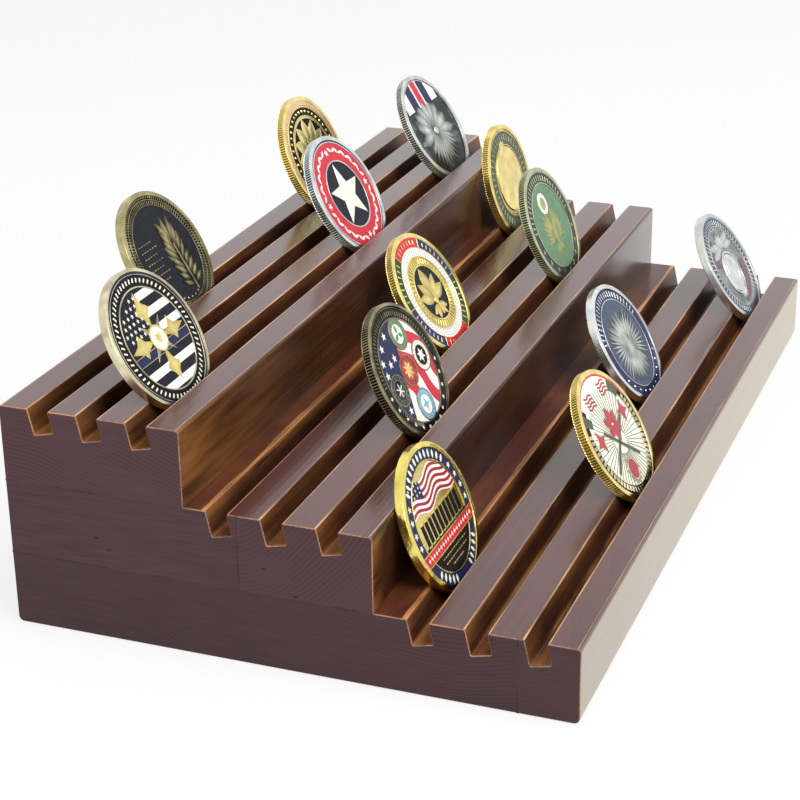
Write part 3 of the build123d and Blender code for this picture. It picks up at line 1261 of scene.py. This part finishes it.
# %% [markdown]
# ## The coins of the high step
#
# The five coins at the back: a sprig on a dark field, a gold rosette, a compass star on level stripes,
# a plain star inside a red ring, and a silver sunburst under a striped ribbon.

# %% coin_01, a sprig on a dark field


def sprig_coin():
    ticks = copies(bar(0.32, 1.3), around(110, 18.1))
    outer_ticks = copies(bar(0.4, 0.7), around(120, 20.0))
    stem_x = 5.5
    stem = moved(bar(0.8, 17.0), spot(stem_x, -6.5))
    pairs = [spot(stem_x, -13.5 + 2.1 * index, side * (64 - 6 * index), 0.75 + 0.045 * index)
             for index in range(8) for side in both_sides]
    leaves = copies(leaf(11.0, 3.2, high=-0.36, peak=0.32), pairs + [spot(stem_x, 1.8)])
    rows = [spot(-13.5 + 1.75 * column, 6.5 - 2.2 * row) for row in range(7) for column in range(5 + row % 2)]
    dashes = copies(bar(1.15, 0.42), rows)
    dots = copies(bead(0.45), around(5, 16.0, 165, 200))
    return [("ink", disc(19.0, -0.36)), ("black", ring(field_radius, 19.1, -0.36)),
            ("metal", join([ticks, outer_ticks, ring(19.3, 18.95, wall_level), ring(17.3, 17.05, wall_level),
                            stem, leaves, dashes, dots]))]


make_coin("coin_01", "antique_brass", sprig_coin(), reeded=False)

# %% coin_02, a gold rosette in a black ring


def rosette_coin():
    beads = copies(bead(0.62), around(40, 16.4))
    petals = copies(leaf(12.6, 5.6, high=-0.38, peak=0.34), around(12, 1.2))
    inner_petals = copies(leaf(7.4, 3.6, high=-0.24, peak=0.2), around(10, 0.6, 18, 378))
    return [("black", ring(18.0, 14.8, -0.3)),
            ("black", disc(14.6, -0.42)),
            ("bright_gold", join([ring(14.5, 13.6, -0.2), petals, inner_petals, disc(2.6, -0.06, edge=0.2)])),
            ("metal", join([beads, ring(14.9, 14.3, wall_level), ring(18.6, 17.9, wall_level)])),
            ("copper_gold", ring(field_radius + 0.05, 18.6, -0.1, edge=0.1))]


make_coin("coin_02", "gold_plate", rosette_coin())

# %% coin_03, a compass star on level stripes


def striped_star_coin():
    stripe = 2.55
    pitch = 2.72
    middle_y = -3.1
    field = 16.0
    whole = [moved(bar(34, stripe, enamel_level), spot(0, middle_y - pitch * count)) for count in (2, 4)]
    part = [moved(bar(17, stripe, enamel_level), spot(9.2, middle_y + pitch * count)) for count in (2, 4, 6)]
    white = trim(join(whole + part), round_cutter(field))
    blue = trim(moved(bar(34, stripe, enamel_level), spot(0, middle_y)), round_cutter(field))
    borders = trim(join([moved(bar(34, 0.22), spot(0, middle_y + side * 1.38)) for side in both_sides]),
                   round_cutter(field + 0.2))
    grid = [(-14.6 + 2.5 * column + 1.25 * (row % 2), 3.2 + 2.1 * row)
            for row in range(6) for column in range(6)]
    stars = copies(star(5, 0.78, 0.33, enamel_level),
                   [spot(x, y) for x, y in grid if math.hypot(x, y) < 14.8 and x < -0.4])
    marks = copies(bar(0.55, 1.5, high=-0.2), around(64, 18.4, tilt=24))
    arm = moved(star(4, 6.3, 3.1, high=-0.3, peak=0.26), Matrix.Diagonal((0.68, 1, 1, 1)))
    points = copies(arm, around(4, 9.0))
    slanted = moved(star(4, 8.6, 1.9, high=-0.24, peak=0.1), spot(turn=45))
    return [("ink", disc(16.1, -0.36)), ("black", ring(20.2, 16.4, -0.3)),
            ("navy", join([ring(coin_radius - narrow_rim, 20.2, -0.3), blue])), ("white", white),
            ("cream", join([stars, marks, disc(3.7, -0.1)])),
            ("gold_plate", join([points, ring(4.2, 3.6, -0.06), star(8, 2.2, 1.1, -0.04, 0.02)])),
            ("metal", join([slanted, borders, ring(16.5, 16.05, wall_level), ring(20.35, 20.1, wall_level)]))]


make_coin("coin_03", "pale_brass", striped_star_coin(), reeded=False, rim=narrow_rim)

# %% coin_04, a star inside a red ring


def red_ring_coin():
    leaves = [spot(turn=15 * index) @ spot(0, 16.1, side * 62)
              for index in range(24) if index % 6 for side in both_sides]
    small_stars = copies(star(5, 1.5, 0.65, -0.2), around(4, 16.2))
    sprigs = copies(leaf(3.1, 1.15, high=-0.24, peak=0.05), leaves)
    edges = [ring(20.0, 19.55, wall_level), ring(12.85, 12.35, wall_level)]
    return [("navy", ring(field_radius, 20.0, -0.3)), ("red", ring(19.6, 12.8, enamel_level)),
            ("ink", disc(12.4, -0.34)), ("white", join([small_stars, sprigs])),
            ("cream", star(5, 11.3, 4.75, -0.16, edge=0.02)),
            ("metal", join([star(5, 11.9, 5.0, -0.2)] + edges))]


make_coin("coin_04", "silver_plate", red_ring_coin())

# %% coin_05, a sunburst under a ribbon


def sunburst_coin():
    ribbon_y = 17.4
    ribbon_reach = 19.9
    centre = (-1, -1.2)

    def ribbon(width, x, colour):
        strip = moved(bar(width, 16, enamel_level, edge=0.02), spot(x, ribbon_y))
        return colour, trim(strip, round_cutter(ribbon_reach))

    stripes = [ribbon(4.6, 0, "red"), ribbon(5.6, -6.4, "navy"), ribbon(5.6, 6.4, "navy"),
               ribbon(6.0, -12.3, "white"), ribbon(6.0, 12.3, "white")]
    lines = join([moved(bar(1.1, 16, -0.2, edge=0.02), spot(side * 2.9, ribbon_y)) for side in both_sides])
    lines = trim(lines, round_cutter(ribbon_reach))
    upper = copies(leaf(15.5, 6.8, high=-0.38, peak=0.34), fan(*centre, range(-72, 73, 24)))
    sides = copies(leaf(18.0, 5.0, high=-0.34, peak=0.24), fan(*centre, (-97, 97)))
    lower = copies(leaf(15.5, 2.6, high=-0.38, peak=0.3), fan(*centre, range(116, 245, 11)))
    boss = moved(disc(1.6, relief_level, edge=0.2, sides=24), spot(*centre))
    shade = arc_band(19.2, 12.5, 203, 233, -0.38)
    return stripes + [("white", lines), ("black", shade),
                      ("metal", join([upper, sides, lower, boss, ring(20.3, 19.9, wall_level)]))]


make_coin("coin_05", "antique_silver", sunburst_coin())

# %% [markdown]
# ## The coins of the middle step
#
# A plain gold disc in a dark olive ring, a ring of coloured segments round a palmette, five small roundels
# on a waving field, and a gold leaf spray on green.

# %% coin_06, a plain gold disc


def plain_disc_coin():
    ticks = copies(bar(0.7, 2.5, high=-0.16), around(44, 17.2))
    middle = moved(disc(13.0, -0.06, edge=0.3), spot(0.4, 0.6))
    finial = copies(leaf(4.2, 2.4, high=-0.2, peak=0.12), fan(0, 12.2, (-32, 0, 32)))
    return [("olive", ring(19.6, 13.6, -0.32)),
            ("green_brass", ticks),
            ("metal", join([middle, finial, ring(14.4, 14.0, wall_level), ring(19.9, 19.5, wall_level)]))]


make_coin("coin_06", "gold_plate", plain_disc_coin())

# %% coin_07, six coloured segments round a palmette


def segment_coin():
    root = (0, -2.6)
    segments = [(colour, arc_band(20.4, 16.9, 60 * count - 29.2, 60 * count + 29.2, enamel_level))
                for count, colour in enumerate(["red", "blue", "forest"] * 2)]
    borders = copies(bar(0.3, 3.7), around(6, 18.6, 30, 390))
    marks = [mark for count in range(6) for mark in around(7, 18.65, 60 * count - 21, 60 * count + 21)]
    dashes = copies(bar(0.55, 1.7, high=-0.18), marks)
    grain_rows = around(72, 15.9) + around(66, 15.0, 2.5, 362.5) + around(60, 14.1)
    grains = copies(bead(0.16, high=-0.16), grain_rows)
    rays = copies(bar(0.5, 1.9, high=-0.12), around(48, 11.6))
    stem = moved(bar(0.9, 8.5, high=-0.1), spot(0, -4.2))
    middle_leaf = moved(leaf(12.0, 6.0, high=-0.34, peak=0.3), spot(*root))
    side_leaves = copies(leaf(10.2, 4.2, high=-0.34, peak=0.3), fan(*root, (-72, -40, 40, 72)))
    low_leaves = copies(leaf(6.0, 2.4, high=-0.3, peak=0.2), fan(0, -4.4, (-115, 115, -145, 145)))
    knot = moved(disc(1.3, -0.08, edge=0.15, sides=20), spot(0, -3.2))
    walls = [ring(outer, inner, wall_level)
             for outer, inner in ((16.95, 16.65), (13.6, 13.2), (10.3, 9.8), (20.6, 20.35))]
    palmette = [borders, dashes, rays, stem, middle_leaf, side_leaves, low_leaves, knot]
    return segments + [("white", ring(16.7, 13.4, -0.3)), ("ink", disc(9.9, -0.36)),
                       ("metal", join([ring(13.3, 10.2, -0.3)] + palmette + walls)), ("grey", grains)]


make_coin("coin_07", "gold_plate", segment_coin())

# %% coin_08, five roundels on a waving field


def roundel(x, y, rim_colour, middle_colour, motif_colour, motif):
    """A small medallion: a metal wall, a coloured ring, a middle and a plain motif."""
    place = spot(x, y)
    walls = join([ring(5.3, 4.85, -0.08, sides=48), ring(3.5, 3.25, -0.1, sides=48)])
    return [("metal", moved(walls, place)),
            (rim_colour, moved(ring(4.9, 3.45, -0.18, sides=48), place)),
            (middle_colour, moved(disc(3.3, -0.2, sides=48), place)),
            (motif_colour, moved(motif, place)),
            ("metal", moved(copies(bead(0.22, high=-0.06), around(16, 4.18)), place))]


def roundel_coin():
    field = 16.7
    red_waves = [moved(wave(44, 4.6, 1.9, 23, enamel_level, slide=3), spot(offset, offset * 0.55, 58))
                 for offset in (-5.5, 2.5, 10.5)]
    red = trim(join(red_waves), round_cutter(field))
    starred_side = moved(block_cutter(-30, 0, -30, 30), spot(-3.6, 2.0, 24))
    navy = trim(disc(field, -0.2, edge=0.02), starred_side)
    star_places = [(-10.2, 11.2), (-5.4, 13.8), (-5.6, 6.3), (-13.6, 7.4), (-9.4, 5.6), (-14.4, 3.5),
                   (-11.2, -9.7)]
    stars = copies(star(5, 1.45, 0.6, -0.08), [spot(x, y, 12) for x, y in star_places])
    rosette = copies(leaf(2.9, 1.1, high=-0.14, peak=0.08), around(8, 0.1))
    three_leaves = copies(leaf(3.0, 1.5, high=-0.14, peak=0.08), around(3, 0.1))
    roundels = roundel(-0.6, 0.2, "crimson", "red", "gold_plate", rosette)
    roundels += roundel(3.6, 11.3, "green", "cream", "green", three_leaves)
    roundels += roundel(11.2, 0.9, "white", "black", "white", star(6, 2.5, 1.2, -0.12))
    crossed_bars = copies(bar(0.4, 4.4, high=-0.12), around(3, 0, 0, 120))
    roundels += roundel(-11.4, -2.6, "slate", "grey", "cream", crossed_bars)
    roundels += roundel(-0.4, -11.8, "sky", "white", "sky", star(4, 2.8, 0.9, -0.12))
    ring_stars = copies(star(5, 0.8, 0.34, -0.16), around(13, 18.7, 100, 262))
    dashes = copies(bar(0.45, 1.6, high=-0.16), around(44, 18.7, -86, 86))
    lower_dashes = copies(bar(0.45, 1.3, high=-0.16), around(13, 18.0, 207, 250))
    return [("white", disc(16.8, -0.34)), ("black", ring(20.9, 17.2, -0.3)), ("red", red), ("navy", navy),
            ("white", join([stars, ring_stars])),
            ("metal", join([dashes, lower_dashes, ring(17.3, 16.8, wall_level),
                            ring(20.7, 20.45, wall_level)]))] + roundels


make_coin("coin_08", "bronze", roundel_coin(), rim=narrow_rim)

# %% coin_09, a leaf spray on green


def leaf_spray_coin():
    spray = [spot(-0.4, -4.6, side * turn, 1.15 - 0.004 * turn)
             for turn in range(18, 100, 13) for side in both_sides]
    leaves = copies(leaf(13.0, 3.0, high=-0.36, peak=0.3), spray)
    tail = copies(leaf(7.5, 2.6, high=-0.34, peak=0.26), fan(-0.4, -5.6, (150, 180, 210)))
    body = moved(leaf(8.5, 4.2, high=-0.26, peak=0.22), spot(-0.4, -7.8))
    dashes = copies(bar(0.7, 2.2, high=-0.14), around(27, 18.2, -84, 84))
    stars = copies(star(5, 1.15, 0.5, -0.14), around(9, 18.2, 108, 252))
    boss_place = spot(-1.6, 9.0)
    boss_ring = moved(ring(4.1, 2.5, -0.1, sides=48), boss_place)
    grains = copies(bead(0.3, high=-0.04), around(10, 3.3))
    boss = moved(join([disc(2.4, -0.14, sides=32), grains]), boss_place)
    return [("green", disc(16.0, -0.32)), ("slate", ring(20.3, 16.4, -0.32)), ("white", boss_ring),
            ("soft_gold", join([leaves, tail, body, boss])),
            ("metal", join([dashes, stars, ring(16.5, 15.9, wall_level), ring(20.5, 20.2, wall_level)]))]


make_coin("coin_09", "green_brass", leaf_spray_coin())

# %% [markdown]
# ## The coins of the low step
#
# A colonnade under waving stripes with a starred corner, and a red band across; silver rays on a blue-grey
# field; red rosettes on a cream field of rays; and a silver wing over a globe, with mauve arcs behind.

# %% coin_10, a colonnade and a red band


def colonnade_coin():
    field = 16.3
    band_reach = 20.45
    band_height = 3.4
    band_y = -6.7
    swing = 1.1
    pitch = 17
    white = trim(moved(wave(36, 9.6, swing, pitch, -0.32), spot(0.5, 9.5)), round_cutter(field))
    red_rows = [moved(wave(36, 0.95, swing, pitch, -0.22), spot(0.5, 5.7 + 1.9 * row)) for row in range(5)]
    red = trim(join(red_rows), round_cutter(field - 0.1))
    corner = moved(wave(8.8, 5.2, swing, pitch, -0.19, slide=-10.2), spot(-9.7, 11.9))
    corner = trim(corner, round_cutter(field - 0.1))
    corner_stars = [spot(-13.0 + 2.1 * column, 10.6 + 1.5 * row) for row in range(3) for column in range(4)]
    tiny_stars = copies(star(5, 0.5, 0.22, -0.12), corner_stars)
    pillars = [-13.0 + 2.9 * count for count in range(10)]
    shafts = copies(bar(1.5, 7.2, high=-0.16), [spot(x, -0.6) for x in pillars])
    plinth = trim(moved(bar(33, 0.8, high=-0.16), spot(0, -4.45)), round_cutter(field + 0.1))
    caps = copies(bar(2.1, 0.5, high=-0.08), [spot(x, y) for x in pillars for y in (3.1, -3.9)])
    band = trim(moved(bar(44, band_height, -0.2), spot(0, band_y)), round_cutter(band_reach))
    borders = join([moved(bar(44, 0.34, -0.1), spot(0, band_y + side * (band_height / 2 + 0.12)))
                    for side in both_sides])
    borders = trim(borders, round_cutter(band_reach))
    lozenges = copies(star(4, 0.85, 0.34, -0.12), [spot(1.9 * count, band_y) for count in range(-9, 10)])
    lower = trim(disc(16.6, -0.3), block_cutter(-20, 20, -20, band_y - band_height / 2))
    rows = [(1.75 * count + 0.9 * (row % 2), -10.2 - 1.75 * row)
            for row in range(4) for count in range(-8, 9)]
    lines = copies(bar(1.2, 0.34, high=-0.16), [spot(x, y) for x, y in rows if math.hypot(x, y) < 14.6])
    marks = around(13, 18.7, -47, 47) + around(5, 18.7, 133, 162) + around(5, 18.7, 198, 227)
    leaves = copies(moved(leaf(2.7, 1.15, high=-0.22, peak=0.1), spot(0, -1.35)), marks)
    stars = copies(star(5, 1.1, 0.46, -0.12), around(4, 18.7, 60, 96) + around(4, 18.7, 264, 300))
    sky = trim(disc(16.5, -0.38), block_cutter(-20, 20, -5, 20))
    return [("navy", join([ring(20.5, 16.9, -0.3), corner])), ("white", white), ("crimson", red),
            ("red", band), ("bright_gold", sky), ("black", join([shafts, plinth, lower])),
            ("cream", join([leaves, stars, tiny_stars, lozenges])),
            ("metal", join([caps, borders, lines, ring(17.0, 16.55, wall_level)]))]


make_coin("coin_10", "rippled_gold", colonnade_coin(), reeded=False)

# %% coin_11, silver rays on blue-grey


def ray_coin():
    dashes = copies(bar(0.6, 2.2, high=-0.14), around(25, 18.5, -72, 72))
    beads = copies(bead(0.5), around(11, 18.5, 120, 240))
    thin_rays = copies(moved(star(2, 6.5, 0.5, -0.2, peak=0.1), spot(0, 8.5)),
                       fan(0, -1, [*range(42, 130, 8), *range(230, 319, 8)]))
    wings = copies(leaf(13.2, 4.4, high=-0.36, peak=0.32), fan(0, -1.0, range(-54, 55, 18)))
    foot = copies(leaf(12.8, 4.4, high=-0.36, peak=0.32), fan(0, -2.0, range(135, 226, 15)))
    trunk = moved(leaf(19.0, 8.4, high=-0.28, peak=0.24), spot(0, -10.0))
    return [("navy", ring(field_radius, 16.6, -0.32)), ("steel", disc(16.3, -0.38)),
            ("antique_silver", join([thin_rays, wings, foot, trunk])),
            ("metal", join([dashes, ring(16.7, 16.35, wall_level), beads]))]


make_coin("coin_11", "silver_plate", ray_coin(), reeded=False)

# %% coin_12, red rosettes on a cream field of rays


def rosettes_coin():
    spokes = copies(moved(bar(0.22, 12.5, high=-0.24, edge=0.02), spot(0, 11.0)), around(54))
    spokes = trim(moved(spokes, spot(0, -2)), round_cutter(17.4))
    blocks = copies(bar(1.25, 1.9, high=-0.12), around(19, 18.8, 70, 172) + around(19, 18.8, 188, 290))
    wedges = [arc_band(20.2, 14.6, 300, 312, -0.22), arc_band(20.2, 16.2, 44, 62, -0.22)]
    crossed = [(25.0, spot(-1.6, -3.0, 60)), (22.0, spot(0, -3.4, -48))]
    rods = [moved(bar(1.1, length, high=-0.14), place) for length, place in crossed]
    rod_walls = [moved(bar(1.6, length + 0.4, high=-0.2), place) for length, place in crossed]
    heart = spot(1.2, 3.2)
    petals = moved(copies(leaf(5.4, 3.1, high=-0.14, peak=0.1), around(6, 0.3)), heart)
    petal_walls = moved(copies(leaf(6.0, 3.7, high=-0.22, peak=0.02), around(6, 0.3)), heart)
    heart_bead = moved(bead(0.7), heart)
    small = [spot(-12.4, 2.6, -12), spot(12.6, 3.4, 12)]
    small_red = copies(star(4, 3.7, 1.7, -0.14), small)
    small_walls = copies(star(4, 4.4, 2.0, -0.2), small)
    low_place = spot(-2.2, -12.0)
    low_red = moved(disc(3.2, -0.1, edge=0.15, sides=40), low_place)
    low_walls = moved(join([star(14, 5.0, 4.0, -0.2), ring(3.7, 3.2, -0.06, sides=40)]), low_place)
    ribbons = [spot(x, 12.0 + 1.3 * row, 4) for x in (-5.2, 8.2) for row in range(4)]
    ribbon_red = copies(wave(6.4, 0.62, 0.3, 5, -0.16), ribbons)
    edges = [arc_band(17.6, 17.3, 62, 298, wall_level), ring(20.55, 20.4, wall_level)]
    return [("cream", disc(19.9, -0.34)), ("black", ring(20.1, 17.5, -0.28)),
            ("cream", arc_band(20.15, 17.3, -43, 43, -0.26)), ("red", arc_band(20.5, 19.9, -70, 70, -0.2)),
            ("olive", join([spokes] + wedges + rods)),
            ("rose", join([petals, small_red, low_red, ribbon_red])),
            ("metal", join([blocks, petal_walls, small_walls, low_walls, heart_bead] + rod_walls + edges))]


make_coin("coin_12", "pale_brass", rosettes_coin(), rim_metal="gold_plate")

# %% coin_13, a silver wing over a globe


def wing_coin():
    dashes = copies(bar(0.6, 2.1, high=-0.14), around(62, 18.3))
    rope = copies(moved(leaf(1.7, 0.7, high=-0.2, peak=0.1), spot(0, -0.85)), around(56, 15.9, tilt=50))
    globe_place = spot(-1.0, -2.6)
    globe = moved(disc(8.0, -0.12, edge=0.3, sides=72), globe_place)
    globe_walls = join([ring(8.9, 8.3, -0.08, sides=72), ring(5.2, 4.9, -0.06, sides=48)])
    globe_walls = moved(globe_walls, globe_place)
    mauve_arcs = join([arc_band(14.8, 9.0, 285, 335, -0.3), arc_band(14.8, 10.4, 95, 190, -0.3)])
    wing = copies(leaf(13.0, 3.6, high=-0.3, peak=0.26), fan(0.5, 8.6, (-99, -80, 80, 99)))
    crest = copies(leaf(5.6, 3.4, high=-0.26, peak=0.22), fan(0.5, 8.0, (-38, 0, 38)))
    foot = copies(leaf(6.0, 2.4, high=-0.3, peak=0.24), fan(-1.0, -8.0, (140, 162, 184, 206)))
    return [("steel", ring(20.2, 16.7, -0.3)), ("mauve", mauve_arcs),
            ("silver_plate", join([globe, globe_walls, wing, crest, foot])),
            ("metal", join([dashes, rope, ring(16.9, 16.5, wall_level), ring(20.4, 20.1, wall_level)]))]


make_coin("coin_13", "worn_silver", wing_coin(), reeded=False)
